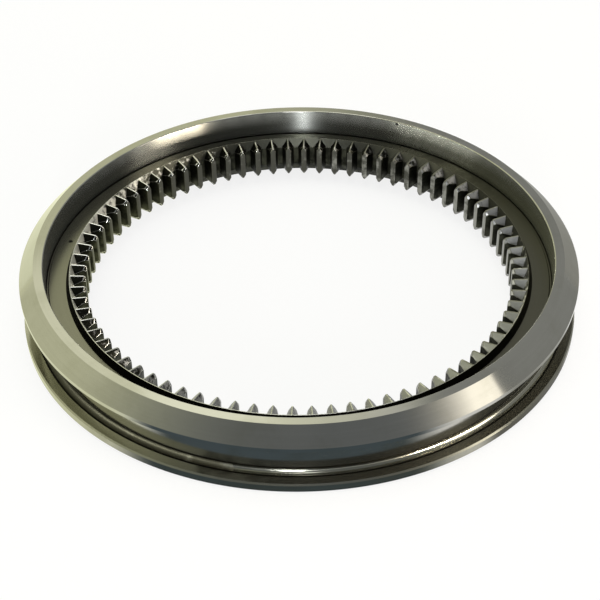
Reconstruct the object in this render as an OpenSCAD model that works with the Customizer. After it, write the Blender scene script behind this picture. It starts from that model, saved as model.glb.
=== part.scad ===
// Gearbox sliding sleeve: a ring with pointed internal teeth and a fork groove round its outside.
// Millimetres, +Z up, the ring axis is Z and the lower end face lies at Z = 0.

/* [Teeth] */
// Number of internal teeth
tooth_n = 78; // [60:1:90]
// Tooth module, the pitch diameter divided by the tooth count
tooth_module = 2; // [1.8:0.05:2.3]
// Height of a tooth inside the pitch circle, in modules
tooth_addendum = 1; // [0.8:0.05:1.1]
// Depth of a tooth outside the pitch circle, in modules
tooth_dedendum = 1.05; // [0.9:0.05:1.2]
// Thickness of a tooth at the pitch circle as a share of the pitch
tooth_share = 0.52; // [0.46:0.01:0.54]
// Slope of the tooth flanks from the radial direction, in degrees
flank_angle = 18; // [14:1:20]
// Angle of the pointed tooth ends from the ring axis to each side, in degrees
point_angle = 40; // [36:1:48]
// Flat left along the crest of a pointed tooth end
crest_w = 0.4; // [0.3:0.05:0.6]
// Step from the top of the lip down to the crest
crest_step = 0.3; // [0.15:0.05:0.4]
// Fall of the crest from the lip to the tooth tip
crest_fall = 0.6; // [0.4:0.1:1]
// Height of the ridged bevel where the crest meets the tooth tip
tip_bevel = 0.5; // [0.3:0.1:1]

/* [Lip round the teeth] */
// Width of the bevel from the tooth roots up to the lip
lip_bevel = 1.5; // [1.3:0.1:2]
// Height of that bevel
lip_bevel_h = 3.4; // [3.2:0.1:4]
// Width of the flat top of the lip
lip_land = 0.2; // [0.15:0.05:0.6]
// Height of the lip above its ledge
lip_h = 2.7; // [2:0.1:3]
// Spread of the outer wall of the lip towards its foot
lip_taper = 1.2; // [0.6:0.1:1.6]
// Depth of the upper lip below the upper end face
lip_depth_top = 7; // [6.5:0.1:8]
// Depth of the lower lip below the lower end face
lip_depth_bottom = 2.8; // [1.5:0.1:3]

/* [Recesses] */
// Width of the flat ledge between the lip and the recess wall
ledge_w = 7.2; // [4:0.1:8]
// Width of the turned relief at the foot of the upper recess wall
relief_w = 1.2; // [0.8:0.1:1.6]
// Depth of that relief below the ledge
relief_depth = 0.5; // [0.3:0.1:0.8]
// Bevel at the mouth of each recess
mouth_bevel = 0.3; // [0.2:0.1:1]

/* [Fork groove and flanges] */
// Thickness of the wall between the recesses and the floor of the fork groove
wall_t = 3.1; // [3:0.1:6]
// Depth of the fork groove
groove_depth = 5.7; // [4:0.1:7]
// Width of the fork groove
groove_w = 13.5; // [12:0.1:18]
// Fillet in the corners of the fork groove
groove_fillet = 1.5; // [0.8:0.1:2]
// Height of the upper flange, its bevel included
rim_h = 7.3; // [6.5:0.1:9]
// Bevel round the upper flange
rim_bevel = 5.4; // [4:0.1:5.6]
// Height of the lower flange
foot_h = 3.4; // [2.6:0.1:4]
// Small bevel on the turned flange edges
edge_bevel = 0.5; // [0.2:0.1:0.6]

/* [Hidden] */
$fn = 192;
steel = [0.42, 0.42, 0.40];
overlap = 1;
tip_angle = 45;

pitch_r = tooth_n * tooth_module / 2;
tip_r = pitch_r - tooth_addendum * tooth_module;
root_r = pitch_r + tooth_dedendum * tooth_module;
lip_in_r = root_r + lip_bevel;
lip_out_r = lip_in_r + lip_land;
lip_foot_r = lip_out_r + lip_taper;
recess_r = lip_foot_r + ledge_w;
floor_r = recess_r + wall_t;
outer_r = floor_r + groove_depth;

top_z = foot_h + groove_w + rim_h;
groove_top_z = foot_h + groove_w;
lip_top_z = top_z - lip_depth_top;
lip_low_z = lip_depth_bottom;
ledge_top_z = lip_top_z - lip_h;
ledge_low_z = lip_low_z + lip_h;

half_pitch_w = tooth_share * PI * tooth_module / 2;
tip_half_w = half_pitch_w - (pitch_r - tip_r) * tan(flank_angle);
back_half_w = half_pitch_w + (lip_in_r - pitch_r) * tan(flank_angle);
crest_run = lip_in_r - tip_r;
crest_angle = atan(crest_fall / crest_run);
crest_tip_z = lip_top_z - crest_step - crest_fall;
crest_tip_low_z = lip_low_z + crest_step + crest_fall;
roof_half_w = back_half_w + overlap;
roof_drop = (roof_half_w - crest_w / 2) / tan(point_angle);
roof_h = lip_top_z - lip_low_z;

sleeve();

// The whole sleeve, one turned and broached piece of steel.
module sleeve() {
  color(steel) {
    union() {
      ring();
      teeth();
    }
  }
}

// The turned ring without its teeth.
module ring() {
  rotate_extrude() {
    difference() {
      ring_outline();
      groove_outline();
    }
  }
}

// Half section of the ring, the fork groove still closed.
module ring_outline() {
  polygon([
    [root_r, lip_low_z + lip_bevel_h],
    [lip_in_r, lip_low_z],
    [lip_out_r, lip_low_z],
    [lip_foot_r, ledge_low_z],
    [recess_r, ledge_low_z],
    [recess_r, mouth_bevel],
    [recess_r + mouth_bevel, 0],
    [outer_r - edge_bevel, 0],
    [outer_r, edge_bevel],
    [outer_r, top_z - rim_bevel],
    [outer_r - rim_bevel, top_z],
    [recess_r + mouth_bevel, top_z],
    [recess_r, top_z - mouth_bevel],
    [recess_r, ledge_top_z - relief_depth],
    [recess_r - relief_w, ledge_top_z - relief_depth],
    [recess_r - relief_w, ledge_top_z],
    [lip_foot_r, ledge_top_z],
    [lip_out_r, lip_top_z],
    [lip_in_r, lip_top_z],
    [root_r, lip_top_z - lip_bevel_h]
  ]);
}

// Half section of the fork groove: rounded inner corners and bevelled mouth edges.
module groove_outline() {
  straight_h = groove_w - 2 * groove_fillet;
  translate([floor_r + groove_fillet, foot_h]) {
    square([groove_depth + overlap, groove_w]);
  }
  translate([floor_r, foot_h + groove_fillet]) {
    square([groove_fillet + overlap, straight_h]);
  }
  for (z = [foot_h + groove_fillet, groove_top_z - groove_fillet]) {
    translate([floor_r + groove_fillet, z]) {
      circle(r = groove_fillet);
    }
  }
  polygon([
    [outer_r - edge_bevel, foot_h],
    [outer_r + overlap, foot_h - edge_bevel - overlap],
    [outer_r + overlap, groove_top_z + edge_bevel + overlap],
    [outer_r - edge_bevel, groove_top_z]
  ]);
}

// The full ring of internal teeth.
module teeth() {
  for (i = [0 : tooth_n - 1]) {
    rotate([0, 0, 360 * i / tooth_n]) {
      tooth();
    }
  }
}

// One tooth on +X: a tapered bar along the axis, pointed at both ends.
module tooth() {
  intersection() {
    translate([0, 0, lip_low_z]) {
      linear_extrude(height = roof_h) {
        tooth_section();
      }
    }
    translate([lip_in_r, 0, lip_top_z - crest_step]) {
      rotate([0, -crest_angle, 0]) {
        roof(crest_run + overlap, overlap);
      }
    }
    translate([lip_in_r, 0, lip_low_z + crest_step]) {
      rotate([0, crest_angle, 0]) {
        mirror([0, 0, 1]) {
          roof(crest_run + overlap, overlap);
        }
      }
    }
    translate([tip_r, 0, crest_tip_z - tip_bevel]) {
      rotate([0, -tip_angle, 0]) {
        roof(roof_h, roof_h);
      }
    }
    translate([tip_r, 0, crest_tip_low_z + tip_bevel]) {
      rotate([0, tip_angle, 0]) {
        mirror([0, 0, 1]) {
          roof(roof_h, roof_h);
        }
      }
    }
  }
}

// Section of a tooth across the axis, rooted in the ring.
module tooth_section() {
  polygon([
    [tip_r, -tip_half_w],
    [lip_in_r, -back_half_w],
    [lip_in_r, back_half_w],
    [tip_r, tip_half_w]
  ]);
}

// A bar with a ridged top that runs inwards and outwards along X, its crest at Z = 0.
module roof(inward, outward) {
  translate([-inward, 0, 0]) {
    rotate([90, 0, 90]) {
      linear_extrude(height = inward + outward) {
        polygon([
          [-crest_w / 2, 0],
          [crest_w / 2, 0],
          [roof_half_w, -roof_drop],
          [roof_half_w, -roof_h],
          [-roof_half_w, -roof_h],
          [-roof_half_w, -roof_drop]
        ]);
      }
    }
  }
}
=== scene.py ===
"""The gearbox sliding sleeve, modelled, finished and lit.

A turned, hardened and ground steel ring with pointed internal teeth and a fork groove round its outside.
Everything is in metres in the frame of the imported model: +Z is the ring's axis, and the lower end
face is at Z = 0.
"""

import logging
import math
from collections.abc import Callable, Iterator
from contextlib import contextmanager
from dataclasses import dataclass
from enum import Enum

import bmesh
import bpy
from mathutils import Matrix, Vector


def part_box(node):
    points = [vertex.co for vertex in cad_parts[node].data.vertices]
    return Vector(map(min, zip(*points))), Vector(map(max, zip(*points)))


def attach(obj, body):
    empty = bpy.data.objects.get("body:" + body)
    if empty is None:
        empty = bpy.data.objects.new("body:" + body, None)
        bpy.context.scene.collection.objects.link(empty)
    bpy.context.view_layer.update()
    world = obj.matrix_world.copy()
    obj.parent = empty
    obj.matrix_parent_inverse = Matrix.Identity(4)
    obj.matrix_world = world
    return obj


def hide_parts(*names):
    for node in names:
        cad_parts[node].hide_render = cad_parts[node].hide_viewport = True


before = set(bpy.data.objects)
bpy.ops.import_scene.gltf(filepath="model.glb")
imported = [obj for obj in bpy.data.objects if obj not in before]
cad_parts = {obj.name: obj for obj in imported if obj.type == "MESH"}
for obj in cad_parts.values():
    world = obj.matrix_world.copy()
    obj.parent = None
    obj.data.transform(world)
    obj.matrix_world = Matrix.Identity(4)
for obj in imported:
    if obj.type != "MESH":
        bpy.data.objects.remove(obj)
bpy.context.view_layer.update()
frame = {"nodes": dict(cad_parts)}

MM = 0.001
NODE = "sleeve"
BODY = "root"
LOG = logging.getLogger("sleeve")

# A turned line runs on for a long way round the ring, and a broached one along the whole tooth.
TURN_STRETCH = 3 * MM
STROKE_STRETCH = 0.05

# Radius at which a finish's oily patches, shifted to one side as painted shade, are as much thicker
# as the finish says.
PAINTED_SHADE_R = 80 * MM

# Detail of the noise in tool marks and in oil, the oil's unevenness and half the width of its soft edge.
MARK_DETAIL = 2.0
OIL_DETAIL = 4.0
OIL_UNEVEN = 0.6
OIL_EDGE = 0.12

# Share of a pit that is fully dark, and how much of the metal's tone is left there.
PIT_CORE = 0.6
PIT_TONE = 0.03

# A quarter turn of the brushed highlight, which then runs across the lines.
ACROSS = 0.25

# Points that are closer than this become one.
MERGE = 0.002 * MM

# Points round the floor and each card on it.
ROUND_POINTS = 96

# Node kinds that are used often.
VECTOR_MATH = "ShaderNodeVectorMath"
MAP_RANGE = "ShaderNodeMapRange"
MATH = "ShaderNodeMath"
NOISE = "ShaderNodeTexNoise"

# Sockets of a colour mix: its share, its two colours and its result.
MIX_SHARE, MIX_FIRST, MIX_SECOND, MIX_RESULT = 0, 6, 7, 2


class Part(Enum):
    """What a selection picks, by the name of the select mode."""

    POINT = "VERT"
    EDGE = "EDGE"
    FACE = "FACE"


class Marks(Enum):
    """The way a tool left its marks on a surface."""

    TURNED = "lines round the axis"
    BROACHED = "lines along the axis"
    TUMBLED = "small dents in all directions"


class Zone(Enum):
    """The surfaces of the sleeve that were finished in different ways."""

    RIM = "rim"
    GROOVE = "groove"
    FLOOR = "groove floor"
    SHOULDER = "groove flank"
    FILLET = "fillet"
    RECESS = "recess"
    LEDGE = "ledge"
    LIP_WALL = "lip wall"
    LIP = "lip"
    FLANK = "flank"
    POINT = "point"
    TIP = "tip"
    EDGE = "edge"


class Corner(Enum):
    """How a corner of the half section is broken: millimetres along both sides, and segments."""

    SHARP = (0.0, 0)
    CRISP = (0.06, 1)
    FILLET = (1.5, 8)


def linear(colour: str) -> tuple[float, float, float, float]:
    """Turns an sRGB hex colour into a linear one.

    Args:
        colour: six hex digits after a hash sign.

    Returns:
        Linear red, green, blue and an alpha of 1.
    """
    parts = (int(colour[i : i + 2], 16) / 255 for i in (1, 3, 5))
    red, green, blue = (p / 12.92 if p <= 0.04045 else ((p + 0.055) / 1.055) ** 2.4 for p in parts)
    return red, green, blue, 1.0


def add_node(
    tree: bpy.types.NodeTree,
    kind: str,
    inputs: dict | None = None,
    **settings: object,
) -> bpy.types.Node:
    """Adds a node with its settings, values and links.

    Args:
        tree: the node tree that gets the node.
        kind: the type name of the node.
        inputs: values by input name or number; an output socket is linked, anything else is set.
        settings: attributes of the node.

    Returns:
        The new node.
    """
    node = tree.nodes.new(kind)
    for name, value in settings.items():
        setattr(node, name, value)
    for name, value in (inputs or {}).items():
        if isinstance(value, bpy.types.NodeSocket):
            tree.links.new(value, node.inputs[name])
        else:
            node.inputs[name].default_value = value
    return node


@contextmanager
def modelling(piece: bpy.types.Object) -> Iterator[None]:
    """Opens one piece in edit mode, with nothing else selected, and closes it again.

    Args:
        piece: the mesh object to model.
    """
    bpy.ops.object.select_all(action="DESELECT")
    bpy.context.view_layer.objects.active = piece
    piece.select_set(True)
    bpy.ops.object.mode_set(mode="EDIT")
    yield
    bpy.ops.object.mode_set(mode="OBJECT")


def pick(piece: bpy.types.Object, part: Part, test: Callable[[Vector, Vector], bool]) -> None:
    """Selects the points, edges or faces of a piece in edit mode that pass a test.

    Args:
        piece: the mesh object in edit mode.
        part: what is selected.
        test: gets the middle and the normal of each one.
    """
    bpy.ops.mesh.select_mode(type=part.value)
    bpy.ops.mesh.select_all(action="DESELECT")
    mesh = bmesh.from_edit_mesh(piece.data)
    if part is Part.POINT:
        found = [v for v in mesh.verts if test(v.co, v.normal)]
    elif part is Part.FACE:
        found = [f for f in mesh.faces if test(f.calc_center_median(), f.normal)]
    else:
        middles = {e: (e.verts[0].co + e.verts[1].co) / 2 for e in mesh.edges}
        normals = {e: sum((f.normal for f in e.link_faces), Vector()) for e in mesh.edges}
        found = [e for e in mesh.edges if test(middles[e], normals[e])]
    for item in found:
        item.select = True
    mesh.select_flush_mode()
    bmesh.update_edit_mesh(piece.data)


@dataclass(frozen=True)
class Speck:
    """A small dark pit: its angle round the ring in degrees, its radius, height and size in millimetres."""

    angle: float
    radius: float
    height: float
    size: float

    def place(self) -> Vector:
        """The pit's middle in metres."""
        turn = math.radians(self.angle)
        return Vector((self.radius * math.cos(turn), self.radius * math.sin(turn), self.height)) * MM


@dataclass(frozen=True)
class SteelFinish:
    """A machined steel surface with its tool marks, its oily patches and its pits.

    Sizes are in millimetres. Real tool marks are too fine to show, so their pitch is drawn as about two
    pixels of the render. The two roughness values are those of the clean metal and of the oily patches.
    The patches are thicker towards +X and +Y by the two shares in painted_shade_towards, which paints
    shade on that side of the ring. With brushed above 0 the fine lines round the axis stretch each
    highlight across them.
    """

    name: str
    colour: str
    stain_and_shade: str
    stain_size: float
    stain_share: float
    roughness: tuple[float, float]
    marks: Marks
    mark_pitch: float
    mark_depth: float
    mark_tone: float = 0.08
    painted_shade_towards: tuple[float, float] = (0.0, 0.0)
    brushed: float = 0.0
    specks: tuple[Speck, ...] = ()

    def mark_field(self, tree: bpy.types.NodeTree, place: bpy.types.NodeSocket) -> bpy.types.NodeSocket:
        """Draws the tool marks as a height from 0 to 1.

        Args:
            tree: the material's nodes.
            place: the point on the object.

        Returns:
            The socket that gives the height.
        """
        scale = {"Scale": 1 / (self.mark_pitch * MM), "Detail": MARK_DETAIL}
        if self.marks is Marks.TUMBLED:
            return add_node(tree, NOISE, {"Vector": place, **scale}).outputs[0]
        if self.marks is Marks.BROACHED:
            along = {"Vector": place, "Scale": (1, 1, STROKE_STRETCH)}
            stroke = add_node(tree, "ShaderNodeMapping", along)
            return add_node(tree, NOISE, {"Vector": stroke.outputs[0], **scale}).outputs[0]
        flat = add_node(tree, VECTOR_MATH, {0: place, 1: (1, 1, 0)}, operation="MULTIPLY")
        radius = add_node(tree, VECTOR_MATH, {0: flat.outputs[0]}, operation="LENGTH")
        way = add_node(tree, VECTOR_MATH, {0: flat.outputs[0]}, operation="NORMALIZE")
        short = add_node(tree, VECTOR_MATH, {0: way.outputs[0], "Scale": TURN_STRETCH}, operation="SCALE")
        across = add_node(tree, "ShaderNodeSeparateXYZ", {0: short.outputs[0]})
        height = add_node(tree, "ShaderNodeSeparateXYZ", {0: place})
        inputs = {0: radius.outputs["Value"], 1: height.outputs[2], 2: across.outputs[0]}
        point = add_node(tree, "ShaderNodeCombineXYZ", inputs)
        inputs = {"Vector": point.outputs[0], "W": across.outputs[1], **scale}
        return add_node(tree, NOISE, inputs, noise_dimensions="4D").outputs[0]

    def oil_and_shade_field(self, tree: bpy.types.NodeTree, place: bpy.types.NodeSocket) -> bpy.types.NodeSocket:
        """Draws the oily patches, shifted to one side as painted shade, as a share from 0, clean, to 1,
        oily.

        Args:
            tree: the material's nodes.
            place: the point on the object.

        Returns:
            The socket that gives the share.
        """
        patch = {"Scale": 1 / (self.stain_size * MM), "Detail": OIL_DETAIL, "Roughness": OIL_UNEVEN}
        patches = add_node(tree, NOISE, {"Vector": place, **patch}).outputs[0]
        # Shifting the patches towards one side paints shade on that side of the ring.
        thicker = Vector((*self.painted_shade_towards, 0)) / PAINTED_SHADE_R
        side = add_node(tree, VECTOR_MATH, {0: place, 1: thicker}, operation="DOT_PRODUCT")
        thick = add_node(tree, MATH, {0: patches, 1: side.outputs["Value"]}).outputs[0]
        middle = 0.5 + (0.5 - self.stain_share) * 0.5
        limits = {"Value": thick, "From Min": middle - OIL_EDGE, "From Max": middle + OIL_EDGE}
        return add_node(tree, MAP_RANGE, limits, interpolation_type="SMOOTHSTEP").outputs[0]

    def material(self) -> bpy.types.Material:
        """Builds the finish as a material.

        Returns:
            The new material.
        """
        made = bpy.data.materials.new(self.name)
        made.use_nodes = True
        tree = made.node_tree
        shader = tree.nodes["Principled BSDF"]
        shader.inputs["Metallic"].default_value = 1.0
        place = add_node(tree, "ShaderNodeTexCoord").outputs["Object"]
        marks = self.mark_field(tree, place)
        # The oily share carries the oil patches and the painted shade on one side; it sets the colour and
        # the roughness.
        oily = self.oil_and_shade_field(tree, place)
        mix = {MIX_SHARE: oily, MIX_FIRST: linear(self.colour), MIX_SECOND: linear(self.stain_and_shade)}
        colour = add_node(tree, "ShaderNodeMix", mix, data_type="RGBA").outputs[MIX_RESULT]
        tone = {"Value": marks, "To Min": 1 - self.mark_tone, "To Max": 1 + self.mark_tone}
        shade = add_node(tree, MAP_RANGE, tone).outputs[0]
        shown = add_node(tree, VECTOR_MATH, {0: colour, "Scale": shade}, operation="SCALE").outputs[0]
        for speck in self.specks:
            reach = add_node(tree, VECTOR_MATH, {0: place, 1: speck.place()}, operation="DISTANCE")
            size = speck.size * MM
            edge = {"Value": reach.outputs["Value"], "From Min": size * PIT_CORE, "From Max": size}
            clear = add_node(tree, MAP_RANGE, {**edge, "To Min": PIT_TONE}).outputs[0]
            shown = add_node(tree, VECTOR_MATH, {0: shown, "Scale": clear}, operation="SCALE").outputs[0]
        tree.links.new(shown, shader.inputs["Base Color"])
        clean, dull = self.roughness
        gloss = {"Value": oily, "To Min": clean, "To Max": dull}
        tree.links.new(add_node(tree, MAP_RANGE, gloss).outputs[0], shader.inputs["Roughness"])
        relief = {"Height": marks, "Strength": 1.0, "Distance": self.mark_depth * MM}
        tree.links.new(add_node(tree, "ShaderNodeBump", relief).outputs[0], shader.inputs["Normal"])
        if self.brushed:
            shader.inputs["Anisotropic"].default_value = self.brushed
            shader.inputs["Anisotropic Rotation"].default_value = ACROSS
            round_axis = add_node(tree, "ShaderNodeTangent", direction_type="RADIAL", axis="Z")
            tree.links.new(round_axis.outputs[0], shader.inputs["Tangent"])
        return made


# Case-hardened alloy steel, ground: a bright, even mirror with a soft edge to what it shows.
GROUND_STEEL = SteelFinish(
    name="ground_case_hardened_steel",
    colour="#bdbcb6",
    stain_and_shade="#b4b3ab",
    stain_size=22,
    stain_share=0.4,
    roughness=(0.08, 0.11),
    marks=Marks.TURNED,
    mark_pitch=0.8,
    mark_depth=0.0005,
    mark_tone=0.05,
)

# Ground fork groove under a film of oil: the same mirror, a shade deeper.
OILED_GROOVE_STEEL = SteelFinish(
    name="oiled_ground_steel",
    colour="#a8a79b",
    stain_and_shade="#98978a",
    stain_size=18,
    stain_share=0.45,
    roughness=(0.14, 0.2),
    marks=Marks.TURNED,
    mark_pitch=0.9,
    mark_depth=0.0005,
    mark_tone=0.04,
)

# Floor of the fork groove, plunge ground: nearly as bright a mirror as the rim.
PLUNGED_STEEL = SteelFinish(
    name="plunge_ground_steel",
    colour="#bdbcb6",
    stain_and_shade="#b0afa6",
    stain_size=18,
    stain_share=0.45,
    roughness=(0.12, 0.16),
    marks=Marks.TURNED,
    mark_pitch=0.9,
    mark_depth=0.0005,
    mark_tone=0.04,
)

# Lower flank of the fork groove: clean to the left, and dark to the front and right as painted shade,
# with a ragged edge from oily patches.
SHOULDER_STEEL = SteelFinish(
    name="groove_flank_oil_and_painted_shade",
    colour="#a8a79b",
    stain_and_shade="#64635a",
    stain_size=14,
    stain_share=1.0,
    roughness=(0.16, 0.26),
    marks=Marks.TURNED,
    mark_pitch=0.9,
    mark_depth=0.0005,
    painted_shade_towards=(0.8, 0.0),
)

# Corner fillet of the fork groove: dull, dark oily patches, most of them to the left as painted shade
# that dims the fillet's highlight there.
FILLET_STEEL = SteelFinish(
    name="groove_fillet_oil_and_painted_shade",
    colour="#a8a79b",
    stain_and_shade="#4a4940",
    stain_size=14,
    stain_share=0.15,
    roughness=(0.14, 0.5),
    marks=Marks.TURNED,
    mark_pitch=0.9,
    mark_depth=0.0005,
    painted_shade_towards=(-0.5, 0.0),
)

# Fine turned recess with a thin film of oil: its lines stretch each highlight up and down the wall.
TURNED_STEEL = SteelFinish(
    name="fine_turned_oiled_steel",
    colour="#8f908b",
    stain_and_shade="#898a85",
    stain_size=16,
    stain_share=0.45,
    roughness=(0.27, 0.27),
    marks=Marks.TURNED,
    mark_pitch=0.7,
    mark_depth=0.00015,
    mark_tone=0.05,
    brushed=1.0,
    specks=(Speck(angle=63.5, radius=90.2, height=23.4, size=0.7),),
)

# Faced ledge under the same film of oil: a dull grey-olive, darker to the right and the front as
# painted shade.
FACED_STEEL = SteelFinish(
    name="faced_oiled_steel_painted_shade",
    colour="#7f7e72",
    stain_and_shade="#5f5e54",
    stain_size=9,
    stain_share=0.45,
    roughness=(0.26, 0.34),
    marks=Marks.TURNED,
    mark_pitch=0.7,
    mark_depth=0.001,
    mark_tone=0.06,
    painted_shade_towards=(0.35, -0.3),
    specks=(Speck(angle=168.3, radius=85.4, height=14.5, size=1.0),),
)

# Near-black steel that shows nothing: painted shade on the outer walls of the lip and under the
# foot's lower edge. The painted shade in the corners of the relief and beside the groove fillet is as
# black and has the same finish.
PAINTED_SHADE_STEEL = SteelFinish(
    name="painted_shade_black_steel",
    colour="#201f1a",
    stain_and_shade="#141410",
    stain_size=6,
    stain_share=0.5,
    roughness=(0.4, 0.5),
    marks=Marks.TURNED,
    mark_pitch=0.6,
    mark_depth=0.004,
)

# Bevel from the lip down to the tooth roots: bright and dented, its pale tone partly painted light where
# it catches the light from above, with oily spots that gather to the right and rear as painted shade.
LIP_STEEL = SteelFinish(
    name="bevelled_steel_painted_light_and_shade",
    colour="#e6e5dc",
    stain_and_shade="#3d3d36",
    stain_size=2.2,
    stain_share=0.35,
    roughness=(0.5, 0.4),
    marks=Marks.TUMBLED,
    mark_pitch=1.4,
    mark_depth=0.05,
    painted_shade_towards=(0.2, 0.4),
)

# Broached flanks and roots, near-black as painted shade of the slots between the teeth: they show
# little but the slot itself.
BROACHED_STEEL = SteelFinish(
    name="broached_steel_painted_shade",
    colour="#3b3c32",
    stain_and_shade="#20211b",
    stain_size=3,
    stain_share=0.5,
    roughness=(0.34, 0.5),
    marks=Marks.BROACHED,
    mark_pitch=0.6,
    mark_depth=0.01,
)

# Milled and tumbled tooth points: dented grey, with black oily patches that gather to the left and
# rear as painted shade on that side.
TUMBLED_STEEL = SteelFinish(
    name="tumbled_milled_steel",
    colour="#9c9c9b",
    stain_and_shade="#1f1f1a",
    stain_size=1.8,
    stain_share=0.5,
    roughness=(0.4, 0.3),
    marks=Marks.TUMBLED,
    mark_pitch=0.9,
    mark_depth=0.07,
    painted_shade_towards=(-0.32, 0.24),
)

# Tooth tips, bored to size before broaching: plain grey with oily patches, darker to the left and rear
# as painted shade.
BORED_STEEL = SteelFinish(
    name="bored_steel",
    colour="#8e8e86",
    stain_and_shade="#4c4c45",
    stain_size=4,
    stain_share=0.5,
    roughness=(0.3, 0.4),
    marks=Marks.BROACHED,
    mark_pitch=0.5,
    mark_depth=0.008,
    painted_shade_towards=(-0.2, 0.15),
)

# Edges rubbed bare by handling, partly real wear and partly a painted highlight along the crests and the
# lip's top: the brightest metal on the piece, with oily patches gathered to the right as painted shade.
WORN_AND_PAINTED_HIGHLIGHT_STEEL = SteelFinish(
    name="rubbed_steel_and_painted_highlight",
    colour="#d8d8d2",
    stain_and_shade="#77766b",
    stain_size=4,
    stain_share=0.35,
    roughness=(0.24, 0.4),
    marks=Marks.TUMBLED,
    mark_pitch=0.8,
    mark_depth=0.002,
    painted_shade_towards=(0.3, 0.1),
)

FINISHES: dict[Zone, SteelFinish] = {
    Zone.RIM: GROUND_STEEL,
    Zone.GROOVE: OILED_GROOVE_STEEL,
    Zone.FLOOR: PLUNGED_STEEL,
    Zone.SHOULDER: SHOULDER_STEEL,
    Zone.FILLET: FILLET_STEEL,
    Zone.RECESS: TURNED_STEEL,
    Zone.LEDGE: FACED_STEEL,
    Zone.LIP_WALL: PAINTED_SHADE_STEEL,
    Zone.LIP: LIP_STEEL,
    Zone.FLANK: BROACHED_STEEL,
    Zone.POINT: TUMBLED_STEEL,
    Zone.TIP: BORED_STEEL,
    Zone.EDGE: WORN_AND_PAINTED_HIGHLIGHT_STEEL,
}


@dataclass(frozen=True)
class SleeveSizes:
    """Sizes of the sleeve in millimetres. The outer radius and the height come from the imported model."""

    outer_r: float
    top_z: float
    tooth_n: int = 78
    tooth_module: float = 2.0
    tooth_addendum: float = 1.0
    tooth_share: float = 0.52
    flank_angle: float = 18.0
    point_angle: float = 40.0
    crest_w: float = 0.4
    crest_step: float = 0.3
    crest_fall: float = 0.6
    tip_bevel: float = 0.5
    tip_angle: float = 45.0
    lip_bevel: float = 1.5
    lip_bevel_h: float = 3.4
    lip_land: float = 0.2
    lip_h: float = 2.7
    lip_taper: float = 1.2
    lip_depth_top: float = 7.0
    lip_low_z: float = 2.8
    ledge_w: float = 7.2
    relief_w: float = 1.2
    relief_depth: float = 0.5
    mouth_bevel: float = 0.3
    wall_t: float = 3.1
    groove_depth: float = 5.7
    foot_h: float = 3.4
    rim_h: float = 7.3
    rim_bevel: float = 5.4
    edge_bevel: float = 0.5

    @classmethod
    def from_frame(cls) -> "SleeveSizes":
        """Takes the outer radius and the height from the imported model."""
        _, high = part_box(NODE)
        return cls(outer_r=high.x / MM, top_z=high.z / MM)

    @property
    def floor_r(self) -> float:
        """Radius of the floor of the fork groove."""
        return self.outer_r - self.groove_depth

    @property
    def recess_r(self) -> float:
        """Radius of the recess walls."""
        return self.floor_r - self.wall_t

    @property
    def lip_foot_r(self) -> float:
        """Radius of the outer foot of the lip."""
        return self.recess_r - self.ledge_w

    @property
    def lip_out_r(self) -> float:
        """Outer radius of the lip's land."""
        return self.lip_foot_r - self.lip_taper

    @property
    def lip_in_r(self) -> float:
        """Inner radius of the lip's land, where the teeth are rooted."""
        return self.lip_out_r - self.lip_land

    @property
    def root_r(self) -> float:
        """Radius of the tooth roots."""
        return self.lip_in_r - self.lip_bevel

    @property
    def pitch_r(self) -> float:
        """Radius of the pitch circle."""
        return self.tooth_n * self.tooth_module / 2

    @property
    def tip_r(self) -> float:
        """Radius of the tooth tips."""
        return self.pitch_r - self.tooth_addendum * self.tooth_module

    @property
    def groove_top_z(self) -> float:
        """Height of the upper flank of the fork groove."""
        return self.top_z - self.rim_h

    @property
    def lip_top_z(self) -> float:
        """Height of the upper lip."""
        return self.top_z - self.lip_depth_top

    @property
    def ledge_top_z(self) -> float:
        """Height of the upper ledge."""
        return self.lip_top_z - self.lip_h

    def half_width(self, radius: float) -> float:
        """Half the width of a tooth at a radius."""
        pitch_half = self.tooth_share * math.pi * self.tooth_module / 2
        return pitch_half + (radius - self.pitch_r) * math.tan(math.radians(self.flank_angle))


@dataclass(frozen=True)
class SectionPoint:
    """A corner of the half section in millimetres, how it is broken and the zone after it."""

    radius: float
    height: float
    corner: Corner
    zone: Zone

    def flat(self) -> Vector:
        """The corner as radius and height."""
        return Vector((self.radius, self.height))

    def place(self) -> Vector:
        """The corner in metres, in the plane of X and Z."""
        return Vector((self.radius, 0, self.height)) * MM


def add_finishes(
    piece: bpy.types.Object,
    zones: tuple[Zone, ...],
    made: dict[Zone, bpy.types.Material],
) -> None:
    """Gives a piece one material slot for each zone, in order.

    Args:
        piece: the mesh object.
        zones: the zones that it shows.
        made: the material of each zone.
    """
    piece.data.materials.clear()
    for zone in zones:
        piece.data.materials.append(made[zone])


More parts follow.
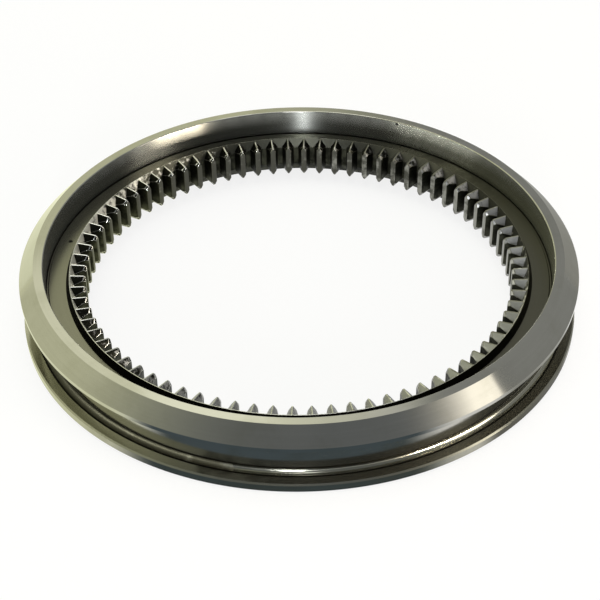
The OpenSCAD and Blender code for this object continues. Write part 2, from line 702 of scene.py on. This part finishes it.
@dataclass
class TurnedRing:
    """The ring without its teeth: a half section drawn point to point and spun round the axis.

    Painted shade, in the near-black finish, sits in the corners of the turned relief, in strips of
    corner_shade_w millimetres, and on both sides of the lower groove fillet, which is fillet_w wide, in
    strips of fillet_shade_w. A point within same_place of a corner is that corner.
    """

    sizes: SleeveSizes
    steps_per_tooth: int = 4
    smooth_angle: float = 28.0
    zones: tuple[Zone, ...] = (
        Zone.RIM,
        Zone.GROOVE,
        Zone.FLOOR,
        Zone.SHOULDER,
        Zone.FILLET,
        Zone.RECESS,
        Zone.LEDGE,
        Zone.LIP_WALL,
        Zone.LIP,
        Zone.FLANK,
        Zone.EDGE,
    )
    same_place: float = 0.012
    corner_shade_w: float = 0.35
    fillet_w: float = 1.55
    fillet_shade_w: float = 0.7

    def section(self) -> list[SectionPoint]:
        """The corners of the half section, from the tooth roots down, out, up and back in.

        Returns:
            The corners in order.
        """
        s = self.sizes
        ledge_low_z = s.lip_low_z + s.lip_h
        relief_r = s.recess_r - s.relief_w
        relief_z = s.ledge_top_z - s.relief_depth
        mouth_r = s.recess_r + s.mouth_bevel
        edge_r = s.outer_r - s.edge_bevel
        fillet_r = s.floor_r + self.fillet_w
        fillet_z = s.foot_h + self.fillet_w
        return [
            # The roots and the bevel down to the lower lip take the flank finish: near-black as painted
            # shade of the slots.
            SectionPoint(s.root_r, s.lip_low_z + s.lip_bevel_h, Corner.CRISP, Zone.FLANK),
            SectionPoint(s.lip_in_r, s.lip_low_z, Corner.CRISP, Zone.EDGE),
            # Painted shade: the outer wall of the lower lip is drawn near-black.
            SectionPoint(s.lip_out_r, s.lip_low_z, Corner.CRISP, Zone.LIP_WALL),
            SectionPoint(s.lip_foot_r, ledge_low_z, Corner.CRISP, Zone.LEDGE),
            SectionPoint(s.recess_r, ledge_low_z, Corner.CRISP, Zone.RECESS),
            SectionPoint(s.recess_r, s.mouth_bevel, Corner.CRISP, Zone.RIM),
            SectionPoint(mouth_r, 0, Corner.CRISP, Zone.RIM),
            # Painted shade under the foot: its lower bevel is drawn near-black.
            SectionPoint(edge_r, 0, Corner.SHARP, Zone.LIP_WALL),
            SectionPoint(s.outer_r, s.edge_bevel, Corner.SHARP, Zone.GROOVE),
            SectionPoint(s.outer_r, s.foot_h - s.edge_bevel, Corner.SHARP, Zone.GROOVE),
            SectionPoint(edge_r, s.foot_h, Corner.SHARP, Zone.SHOULDER),
            # Painted shade: a near-black strip on the groove's lower flank beside the fillet.
            SectionPoint(fillet_r + self.fillet_shade_w, s.foot_h, Corner.SHARP, Zone.LIP_WALL),
            SectionPoint(fillet_r, s.foot_h, Corner.SHARP, Zone.FILLET),
            SectionPoint(s.floor_r, s.foot_h, Corner.FILLET, Zone.FILLET),
            # Painted shade: a near-black strip on the groove floor above the fillet.
            SectionPoint(s.floor_r, fillet_z, Corner.SHARP, Zone.LIP_WALL),
            SectionPoint(s.floor_r, fillet_z + self.fillet_shade_w, Corner.SHARP, Zone.FLOOR),
            SectionPoint(s.floor_r, s.groove_top_z, Corner.FILLET, Zone.GROOVE),
            SectionPoint(edge_r, s.groove_top_z, Corner.SHARP, Zone.GROOVE),
            SectionPoint(s.outer_r, s.groove_top_z + s.edge_bevel, Corner.SHARP, Zone.RIM),
            SectionPoint(s.outer_r, s.top_z - s.rim_bevel, Corner.SHARP, Zone.RIM),
            SectionPoint(s.outer_r - s.rim_bevel, s.top_z, Corner.SHARP, Zone.RIM),
            SectionPoint(mouth_r, s.top_z, Corner.CRISP, Zone.RIM),
            SectionPoint(s.recess_r, s.top_z - s.mouth_bevel, Corner.CRISP, Zone.RECESS),
            # Painted shade in the corners of the turned relief: near-black strips at the foot of the wall,
            # at both ends of the relief's floor and up its step.
            SectionPoint(s.recess_r, relief_z + self.corner_shade_w, Corner.SHARP, Zone.LIP_WALL),
            SectionPoint(s.recess_r, relief_z, Corner.SHARP, Zone.LIP_WALL),
            SectionPoint(s.recess_r - self.corner_shade_w, relief_z, Corner.SHARP, Zone.LEDGE),
            SectionPoint(relief_r + self.corner_shade_w, relief_z, Corner.SHARP, Zone.LIP_WALL),
            SectionPoint(relief_r, relief_z, Corner.SHARP, Zone.LIP_WALL),
            SectionPoint(relief_r, s.ledge_top_z, Corner.SHARP, Zone.LEDGE),
            # Painted shade: the outer wall of the upper lip is drawn near-black.
            SectionPoint(s.lip_foot_r, s.ledge_top_z, Corner.CRISP, Zone.LIP_WALL),
            # The lip's top land takes the rubbed-edge finish: partly wear, partly a painted highlight of
            # the lit land.
            SectionPoint(s.lip_out_r, s.lip_top_z, Corner.CRISP, Zone.EDGE),
            SectionPoint(s.lip_in_r, s.lip_top_z, Corner.CRISP, Zone.LIP),
            SectionPoint(s.root_r, s.lip_top_z - s.lip_bevel_h, Corner.CRISP, Zone.FLANK),
        ]

    def build(self) -> bpy.types.Object:
        """Models the ring.

        Returns:
            The ring, not yet dressed.
        """
        corners = self.section()
        places = [c.place() for c in corners]
        bpy.ops.object.select_all(action="DESELECT")
        bpy.ops.mesh.primitive_plane_add(size=MM)
        ring = bpy.context.active_object
        ring.name = ring.data.name = "sleeve_ring"
        with modelling(ring):
            bpy.ops.mesh.select_all(action="SELECT")
            bpy.ops.mesh.merge(type="CENTER")
            bpy.ops.transform.translate(value=places[0])
            for start, end in zip(places, places[1:]):
                bpy.ops.mesh.extrude_vertices_move(TRANSFORM_OT_translate={"value": end - start})
            bpy.ops.mesh.select_all(action="SELECT")
            bpy.ops.mesh.edge_face_add()
            for kind in Corner:
                length, segments = kind.value
                if not segments:
                    continue
                here = [c.place() for c in corners if c.corner is kind]
                near = self.same_place * MM
                pick(ring, Part.POINT, lambda co, _: any((co - p).length < near for p in here))
                bpy.ops.mesh.bevel(offset=length * MM, segments=segments, affect="VERTICES")
            bpy.ops.mesh.select_all(action="SELECT")
            bpy.ops.mesh.delete(type="ONLY_FACE")
            bpy.ops.mesh.select_all(action="SELECT")
            steps = self.steps_per_tooth * self.sizes.tooth_n
            bpy.ops.mesh.spin(steps=steps, angle=math.tau, center=(0, 0, 0), axis=(0, 0, 1))
            bpy.ops.mesh.select_all(action="SELECT")
            bpy.ops.mesh.remove_doubles(threshold=MERGE)
            bpy.ops.mesh.normals_make_consistent(inside=False)
        bpy.ops.object.shade_smooth_by_angle(angle=math.radians(self.smooth_angle))
        bpy.ops.object.modifier_add(type="WEIGHTED_NORMAL")
        ring.modifiers[-1].keep_sharp = True
        bpy.ops.object.modifier_apply(modifier=ring.modifiers[-1].name)
        return ring

    def zone_at(self, radius: float, height: float) -> Zone:
        """Finds the zone of a face.

        Args:
            radius: radius of the middle of the face in millimetres.
            height: height of the middle of the face in millimetres.

        Returns:
            The zone of the nearest side of the section.
        """
        point = Vector((radius, height))
        corners = self.section()
        best, best_gap = Zone.RIM, math.inf
        for start, end in zip(corners, corners[1:] + corners[:1]):
            along = end.flat() - start.flat()
            share = max(0.0, min(1.0, (point - start.flat()).dot(along) / along.length_squared))
            gap = (start.flat() + along * share - point).length
            if gap < best_gap:
                best, best_gap = start.zone, gap
        return best

    def dress(self, ring: bpy.types.Object, made: dict[Zone, bpy.types.Material]) -> None:
        """Gives each face of the ring the finish of its zone.

        Args:
            ring: the ring.
            made: the material of each zone.
        """
        add_finishes(ring, self.zones, made)
        known: dict[tuple[float, float], int] = {}
        for face in ring.data.polygons:
            radius = math.hypot(face.center.x, face.center.y) / MM
            key = (round(radius, 3), round(face.center.z / MM, 3))
            if key not in known:
                known[key] = self.zones.index(self.zone_at(*key))
            face.material_index = known[key]


@dataclass
class InternalTeeth:
    """The full ring of internal teeth: one tooth cut from a bar and copied round the axis.

    The rubbed edges, partly real wear and partly a painted highlight, are edge_w millimetres wide. The
    facing values are the least inward part of the normal of a tip and of a bevel at the tip. The lean
    values are the least upward part of the normal of a crest, of a roof and of a rubbed edge.
    """

    sizes: SleeveSizes
    edge_w: float = 0.13
    tip_facing: float = 0.9
    bevel_facing: float = 0.6
    crest_lean: float = 0.9
    roof_lean: float = 0.3
    edge_lean: float = 0.2
    edge_segments: int = 2
    smooth_angle: float = 35.0
    zones: tuple[Zone, ...] = (Zone.FLANK, Zone.POINT, Zone.TIP, Zone.EDGE)

    def roof_planes(self) -> list[tuple[Vector, Vector]]:
        """The planes that point both ends of a tooth, along the crest and down the bevel at its tip.

        Returns:
            A point and an outward normal for each plane, in metres.
        """
        s = self.sizes
        point = math.radians(s.point_angle)
        fall = math.atan2(s.crest_fall, s.lip_in_r - s.tip_r)
        bevel_drop = s.crest_step + s.crest_fall + s.tip_bevel
        ridges = ((s.lip_in_r, s.crest_step, fall), (s.tip_r, bevel_drop, math.radians(s.tip_angle)))
        planes = []
        for radius, drop, lean in ridges:
            flat = Vector((-math.sin(lean), 0, math.cos(lean)))
            for height, up in ((s.lip_top_z - drop, 1), (s.lip_low_z + drop, -1)):
                flip = Vector((1, 1, up))
                planes.append((Vector((radius, 0, height)) * MM, flat * flip))
                for side in (-1, 1):
                    normal = flat * math.sin(point) + Vector((0, side * math.cos(point), 0))
                    planes.append((Vector((radius, side * s.crest_w / 2, height)) * MM, normal * flip))
        return planes

    def build_tooth(self) -> bpy.types.Object:
        """Models one tooth on +X.

        Returns:
            The tooth, not yet dressed.
        """
        s = self.sizes
        depth = s.lip_in_r - s.tip_r
        tip_half, back_half = s.half_width(s.tip_r), s.half_width(s.lip_in_r)
        bpy.ops.object.select_all(action="DESELECT")
        bpy.ops.mesh.primitive_cube_add(size=MM)
        tooth = bpy.context.active_object
        tooth.name = tooth.data.name = "sleeve_teeth"
        with modelling(tooth):
            bpy.ops.mesh.select_all(action="SELECT")
            bpy.ops.transform.resize(value=(depth, 2 * back_half, s.lip_top_z - s.lip_low_z))
            middle = Vector((s.tip_r + depth / 2, 0, (s.lip_top_z + s.lip_low_z) / 2)) * MM
            bpy.ops.transform.translate(value=middle)
            pick(tooth, Part.FACE, lambda _, normal: normal.x < -self.tip_facing)
            bpy.ops.transform.resize(value=(1, tip_half / back_half, 1), center_override=middle)
            for place, normal in self.roof_planes():
                bpy.ops.mesh.select_all(action="SELECT")
                bpy.ops.mesh.bisect(plane_co=place, plane_no=normal, use_fill=True, clear_outer=True)
            bpy.ops.mesh.select_all(action="SELECT")
            bpy.ops.mesh.remove_doubles(threshold=MERGE)
            bpy.ops.mesh.normals_make_consistent(inside=False)
        return tooth

    def dress(self, tooth: bpy.types.Object, made: dict[Zone, bpy.types.Material]) -> None:
        """Finishes one tooth: its zones, then its rubbed edges, which are partly a painted highlight.

        Args:
            tooth: the tooth.
            made: the material of each zone.
        """
        add_finishes(tooth, self.zones, made)
        for face in tooth.data.polygons:
            lean = abs(face.normal.z)
            if face.normal.x < -self.tip_facing:
                zone = Zone.TIP
            elif lean > self.crest_lean or face.normal.x < -self.bevel_facing:
                zone = Zone.EDGE
            elif lean > self.roof_lean:
                zone = Zone.POINT
            else:
                zone = Zone.FLANK
            face.material_index = self.zones.index(zone)
        back = self.sizes.lip_in_r * MM
        with modelling(tooth):
            pick(tooth, Part.EDGE, lambda middle, _: middle.x < back - self.edge_w * MM)
            bpy.ops.mesh.bevel(
                offset=self.edge_w * MM,
                segments=self.edge_segments,
                affect="EDGES",
                material=self.zones.index(Zone.EDGE),
            )
        # The upright edges are as plain as the tip.
        for face in tooth.data.polygons:
            if self.zones[face.material_index] is Zone.EDGE and abs(face.normal.z) < self.edge_lean:
                face.material_index = self.zones.index(Zone.TIP)

    def copy_round(self, tooth: bpy.types.Object) -> None:
        """Copies the tooth round the axis, into the same piece.

        Args:
            tooth: the finished tooth.
        """
        copies = self.sizes.tooth_n - 1
        turn = math.tau * copies / self.sizes.tooth_n
        with modelling(tooth):
            bpy.ops.mesh.select_all(action="SELECT")
            bpy.ops.mesh.spin(steps=copies, dupli=True, angle=turn, center=(0, 0, 0), axis=(0, 0, 1))
        bpy.ops.object.shade_smooth_by_angle(angle=math.radians(self.smooth_angle))


@dataclass(frozen=True)
class Softbox:
    """A studio lamp with a flat face, aimed at the sleeve: its place, width, height and radiance."""

    name: str
    place: tuple[float, float, float]
    width: float
    height: float
    radiance: float
    colour: str

    def build(self) -> bpy.types.Object:
        """Sets up the lamp.

        Returns:
            The lamp's object.
        """
        bpy.ops.object.light_add(type="AREA", location=self.place)
        lamp = bpy.context.active_object
        lamp.name = lamp.data.name = self.name
        lamp.rotation_euler = Vector(self.place).to_track_quat("Z", "Y").to_euler()
        lamp.data.shape = "RECTANGLE"
        lamp.data.size = self.width
        lamp.data.size_y = self.height
        lamp.data.energy = self.radiance * math.pi * self.width * self.height
        lamp.data.color = linear(self.colour)[:3]
        lamp.visible_camera = False
        return lamp


@dataclass(frozen=True)
class Window:
    """A bright window of the room, which fades to one side and ends at a ragged frame on the other.

    Angles are in degrees: the direction of its middle, where its full light ends, where all of it ends
    and how far the frame stands from the middle. The fade is the power of the fall between the two ends.
    The ragged values are the depth, scale and detail of the frame's outline, and frame_edge its softness.
    """

    azimuth: float = -15.0
    height: float = 29.5
    full: float = 5.0
    outer: float = 34.0
    frame: float = 7.0
    fade: float = 3.0
    radiance: tuple[float, float, float] = (1.7, 1.58, 1.36)
    ragged: float = 0.06
    ragged_scale: float = 16.0
    ragged_detail: float = 3.0
    frame_edge: float = 0.01

    def light(self, tree: bpy.types.NodeTree, way: bpy.types.NodeSocket) -> bpy.types.NodeSocket:
        """Draws the window's light.

        Args:
            tree: the room's nodes.
            way: the direction that is looked in.

        Returns:
            The socket that gives the radiance.
        """
        turn, lift = math.radians(self.azimuth), math.radians(self.height)
        aim = (math.cos(turn) * math.cos(lift), math.sin(turn) * math.cos(lift), math.sin(lift))
        near = add_node(tree, VECTOR_MATH, {0: way, 1: aim}, operation="DOT_PRODUCT").outputs["Value"]
        angle = add_node(tree, MATH, {0: near}, operation="ARCCOSINE").outputs[0]
        outer, full = math.radians(self.outer), math.radians(self.full)
        limits = {"Value": angle, "From Min": outer, "From Max": full}
        share = add_node(tree, MAP_RANGE, limits).outputs[0]
        soft = add_node(tree, MATH, {0: share, 1: self.fade}, operation="POWER").outputs[0]
        post = turn + math.radians(self.frame)
        across = {0: way, 1: (math.sin(post), -math.cos(post), 0)}
        side = add_node(tree, VECTOR_MATH, across, operation="DOT_PRODUCT").outputs["Value"]
        outline = {"Vector": way, "Scale": self.ragged_scale, "Detail": self.ragged_detail}
        torn = {0: add_node(tree, NOISE, outline).outputs[0], 1: self.ragged, 2: side}
        reach = add_node(tree, MATH, torn, operation="MULTIPLY_ADD").outputs[0]
        start = self.ragged / 2
        limits = {"Value": reach, "From Min": start, "From Max": start + self.frame_edge}
        kept = add_node(tree, MAP_RANGE, limits).outputs[0]
        both = add_node(tree, MATH, {0: soft, 1: kept}, operation="MULTIPLY").outputs[0]
        shown = {0: self.radiance, "Scale": both}
        return add_node(tree, VECTOR_MATH, shown, operation="SCALE").outputs[0]


@dataclass(frozen=True)
class PaintedReflectionCard:
    """A soft-edged oval card that lies just above the floor and shows only in the metal: a painted
    reflection of the floor, painted shade where its tone is dark and painted light where it is pale.

    Lengths are in metres: its middle, its half sizes and how far it lies below the sleeve's foot. The tone
    is its radiance, and core the share of its size that has the full tone.
    """

    name: str
    middle: tuple[float, float]
    half: tuple[float, float]
    tone: tuple[float, float, float]
    drop: float
    core: float = 0.7

    def build(self) -> bpy.types.Object:
        """Lays the card.

        Returns:
            The card.
        """
        bpy.ops.object.select_all(action="DESELECT")
        bpy.ops.mesh.primitive_circle_add(vertices=ROUND_POINTS, radius=1.0, fill_type="NGON")
        card = bpy.context.active_object
        card.name = card.data.name = self.name
        with modelling(card):
            bpy.ops.mesh.select_all(action="SELECT")
            bpy.ops.transform.resize(value=(*self.half, 1))
            bpy.ops.transform.translate(value=(*self.middle, -self.drop))
        card_paint = bpy.data.materials.new(self.name)
        card_paint.use_nodes = True
        tree = card_paint.node_tree
        tree.nodes.remove(tree.nodes["Principled BSDF"])
        place = add_node(tree, "ShaderNodeTexCoord").outputs["Object"]
        from_middle = {0: place, 1: (*self.middle, -self.drop)}
        moved = add_node(tree, VECTOR_MATH, from_middle, operation="SUBTRACT")
        scaled = {0: moved.outputs[0], 1: (1 / self.half[0], 1 / self.half[1], 0)}
        scaled = add_node(tree, VECTOR_MATH, scaled, operation="MULTIPLY")
        reach = add_node(tree, VECTOR_MATH, {0: scaled.outputs[0]}, operation="LENGTH")
        limits = {"Value": reach.outputs["Value"], "From Min": 1.0, "From Max": self.core}
        share = add_node(tree, MAP_RANGE, limits, interpolation_type="SMOOTHSTEP").outputs[0]
        clear = add_node(tree, "ShaderNodeBsdfTransparent").outputs[0]
        shown = add_node(tree, "ShaderNodeEmission", {"Color": (*self.tone, 1.0)}).outputs[0]
        both = add_node(tree, "ShaderNodeMixShader", {0: share, 1: clear, 2: shown})
        tree.links.new(both.outputs[0], tree.nodes["Material Output"].inputs[0])
        card.data.materials.append(card_paint)
        card.visible_camera = card.visible_diffuse = False
        card.visible_shadow = card.visible_transmission = False
        return card


@dataclass(frozen=True)
class Studio:
    """A plain studio: pale floor, soft lamps and the tones of the room round them."""

    front: tuple[float, float, float] = (0.165, 0.175, 0.18)
    right: tuple[float, float, float] = (0.17, 0.165, 0.145)
    left: tuple[float, float, float] = (0.6, 0.6, 0.36)
    depth_limits: tuple[float, float] = (-0.75, 0.15)
    side_limits: tuple[float, float] = (0.1, -0.04)
    window: Window = Window()
    lamps: tuple[Softbox, ...] = (
        Softbox("front_lamp", (0.0, -0.75, 1.2), 0.2, 0.4, 2.5, "#ffffff"),
        Softbox("front_strip", (-0.14, -2.5, 0.5), 0.07, 0.9, 150.0, "#f8fcff"),
        Softbox("right_strip", (2.005, -1.489, 0.072), 1.0, 0.075, 680.0, "#fff0d8"),
        Softbox("right_bank", (2.234, -0.936, 0.5), 0.8, 0.9, 10.0, "#fff6e6"),
        Softbox("left_strip", (-2.19, -1.033, 0.072), 1.75, 0.075, 90.0, "#fffff0"),
        Softbox("left_bank", (-2.19, -1.033, 0.5), 1.75, 0.9, 2.5, "#fffff0"),
        Softbox("back_lamp", (-0.27, 0.925, 1.149), 0.95, 0.72, 0.32, "#fffdf4"),
        Softbox("rear_lamp", (-0.112, 1.064, 1.051), 0.16, 0.11, 0.3, "#ffffff"),
        Softbox("top_lamp", (0.0, 0.1, 1.3), 1.0, 1.0, 2.0, "#ffffff"),
    )
    # Cards seen only in the metal: painted shade of the floor to the front and the right, and painted light
    # of the floor to the left.
    flags: tuple[PaintedReflectionCard, ...] = (
        PaintedReflectionCard("front_painted_floor_shade", (-0.012, -0.117), (0.09, 0.05), (0.085, 0.11, 0.125), 0.00005),
        PaintedReflectionCard("right_painted_floor_shade", (0.33, 0.27), (0.35, 0.35), (0.38, 0.38, 0.35), 0.0001, 0.85),
        PaintedReflectionCard("near_painted_floor_shade", (0.1, -0.05), (0.035, 0.035), (0.55, 0.55, 0.52), 0.00015, 0.5),
        PaintedReflectionCard("foot_painted_floor_shade", (0.066, -0.05), (0.033, 0.033), (0.25, 0.25, 0.24), 0.00012, 0.75),
        PaintedReflectionCard("left_painted_floor_light", (-0.35, 0.05), (0.33, 0.4), (1.02, 1.04, 0.74), 0.0001, 0.85),
        PaintedReflectionCard("far_right_painted_floor_shade", (1.4, 1.0), (1.2, 1.2), (0.36, 0.36, 0.33), 0.00016, 0.85),
        PaintedReflectionCard("far_left_painted_floor_light", (-1.4, 1.0), (1.2, 1.2), (0.85, 0.86, 0.58), 0.00016, 0.85),
    )
    floor_r: float = 3.0
    floor_drop: float = 0.0002
    floor_glow: float = 0.82
    floor_colour: str = "#fafafa"

    def build_room(self) -> None:
        """Paints the room's tones, which light the sleeve and show in its metal."""
        world = bpy.data.worlds.new("studio_room")
        bpy.context.scene.world = world
        world.use_nodes = True
        tree = world.node_tree
        way = add_node(tree, "ShaderNodeTexCoord").outputs["Generated"]
        parts = add_node(tree, "ShaderNodeSeparateXYZ", {0: way}).outputs
        soft = {"interpolation_type": "SMOOTHSTEP"}
        low, high = self.depth_limits
        depth = add_node(tree, MAP_RANGE, {"Value": parts[1], "From Min": low, "From Max": high}, **soft)
        low, high = self.side_limits
        side = add_node(tree, MAP_RANGE, {"Value": parts[0], "From Min": low, "From Max": high}, **soft)
        mix = {MIX_SHARE: side.outputs[0], MIX_FIRST: (*self.right, 1.0), MIX_SECOND: (*self.left, 1.0)}
        sides = add_node(tree, "ShaderNodeMix", mix, data_type="RGBA").outputs[MIX_RESULT]
        deep = add_node(tree, VECTOR_MATH, {0: sides, "Scale": depth.outputs[0]}, operation="SCALE")
        total = add_node(tree, VECTOR_MATH, {0: deep.outputs[0], 1: self.front}).outputs[0]
        lit = {0: total, 1: self.window.light(tree, way)}
        total = add_node(tree, VECTOR_MATH, lit).outputs[0]
        tree.links.new(total, tree.nodes["Background"].inputs["Color"])

    def build_floor(self) -> bpy.types.Object:
        """Lays the floor: pale paper that stays white behind the sleeve and keeps its shadow.

        Returns:
            The floor.
        """
        bpy.ops.object.select_all(action="DESELECT")
        bpy.ops.mesh.primitive_circle_add(vertices=ROUND_POINTS, radius=self.floor_r, fill_type="NGON")
        floor = bpy.context.active_object
        floor.name = floor.data.name = "floor"
        with modelling(floor):
            bpy.ops.mesh.select_all(action="SELECT")
            bpy.ops.transform.translate(value=(0, 0, -self.floor_drop))
        paper = bpy.data.materials.new("white_paper")
        paper.use_nodes = True
        tree = paper.node_tree
        tree.nodes.remove(tree.nodes["Principled BSDF"])
        rays = add_node(tree, "ShaderNodeLightPath").outputs
        mirrored = {0: rays["Is Glossy Ray"], 1: rays["Is Transmission Ray"]}
        seen = add_node(tree, MATH, mirrored, operation="MAXIMUM")
        seen = add_node(tree, MATH, {0: seen.outputs[0], 1: rays["Is Camera Ray"]}, operation="MAXIMUM")
        share = add_node(tree, MATH, {0: seen.outputs[0], 1: self.floor_glow}, operation="MULTIPLY")
        matt = add_node(tree, "ShaderNodeBsdfDiffuse", {"Color": linear(self.floor_colour)})
        glow = add_node(tree, "ShaderNodeEmission", {"Strength": 1.0})
        mix = {0: share.outputs[0], 1: matt.outputs[0], 2: glow.outputs[0]}
        both = add_node(tree, "ShaderNodeMixShader", mix)
        tree.links.new(both.outputs[0], tree.nodes["Material Output"].inputs[0])
        floor.data.materials.append(paper)
        return floor


@dataclass(frozen=True)
class PhotoCamera:
    """The camera of the photograph, found from the ring's circles and its tooth tips.

    Lengths in the picture are in pixels of a square picture; the sleeve's upper face centre is the aim.
    """

    picture: float = 600.0
    focal: float = 1506.6
    distance: float = 0.5348
    elevation: float = 38.264
    roll: float = -0.718
    turn: float = -0.414
    aim_right: float = -1.45
    aim_down: float = -55.93
    sensor: float = 36.0

    def build(self, aim: Vector) -> bpy.types.Object:
        """Places the camera and makes it the scene's own.

        Args:
            aim: the centre of the sleeve's upper face.

        Returns:
            The camera.
        """
        bpy.ops.object.camera_add()
        camera = bpy.context.active_object
        camera.name = camera.data.name = "photo_camera"
        camera.data.sensor_width = self.sensor
        camera.data.lens = self.sensor * self.focal / self.picture
        tilt = Matrix.Rotation(math.radians(90 - self.elevation), 4, "X")
        swing = Matrix.Rotation(math.radians(self.turn), 4, "Z")
        lean = Matrix.Rotation(math.radians(-self.roll), 4, "Z")
        pixel = self.distance / self.focal
        back = Matrix.Translation(Vector((-self.aim_right * pixel, self.aim_down * pixel, self.distance)))
        camera.matrix_world = Matrix.Translation(aim) @ swing @ tilt @ lean.inverted() @ back
        bpy.context.scene.camera = camera
        return camera


def main() -> None:
    """Builds the sleeve, its finishes, the studio and the camera."""
    logging.basicConfig(level=logging.INFO)
    bpy.context.scene.view_settings.view_transform = "Standard"
    sizes = SleeveSizes.from_frame()
    made = {zone: finish.material() for zone, finish in FINISHES.items()}

    turned = TurnedRing(sizes)
    ring = turned.build()
    turned.dress(ring, made)
    toothing = InternalTeeth(sizes)
    teeth = toothing.build_tooth()
    toothing.dress(teeth, made)
    toothing.copy_round(teeth)
    for piece in (ring, teeth):
        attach(piece, BODY)
        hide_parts(NODE)
        LOG.info("%s: %d faces", piece.name, len(piece.data.polygons))

    studio = Studio()
    studio.build_room()
    for lamp in studio.lamps:
        LOG.info("lamp %s", lamp.build().name)
    LOG.info("stage %s", studio.build_floor().name)
    for reflection_card in studio.flags:
        LOG.info("stage %s", reflection_card.build().name)
    camera = PhotoCamera().build(Vector((0, 0, sizes.top_z * MM)))
    LOG.info("camera %s", camera.name)


if __name__ == "__main__":
    main()
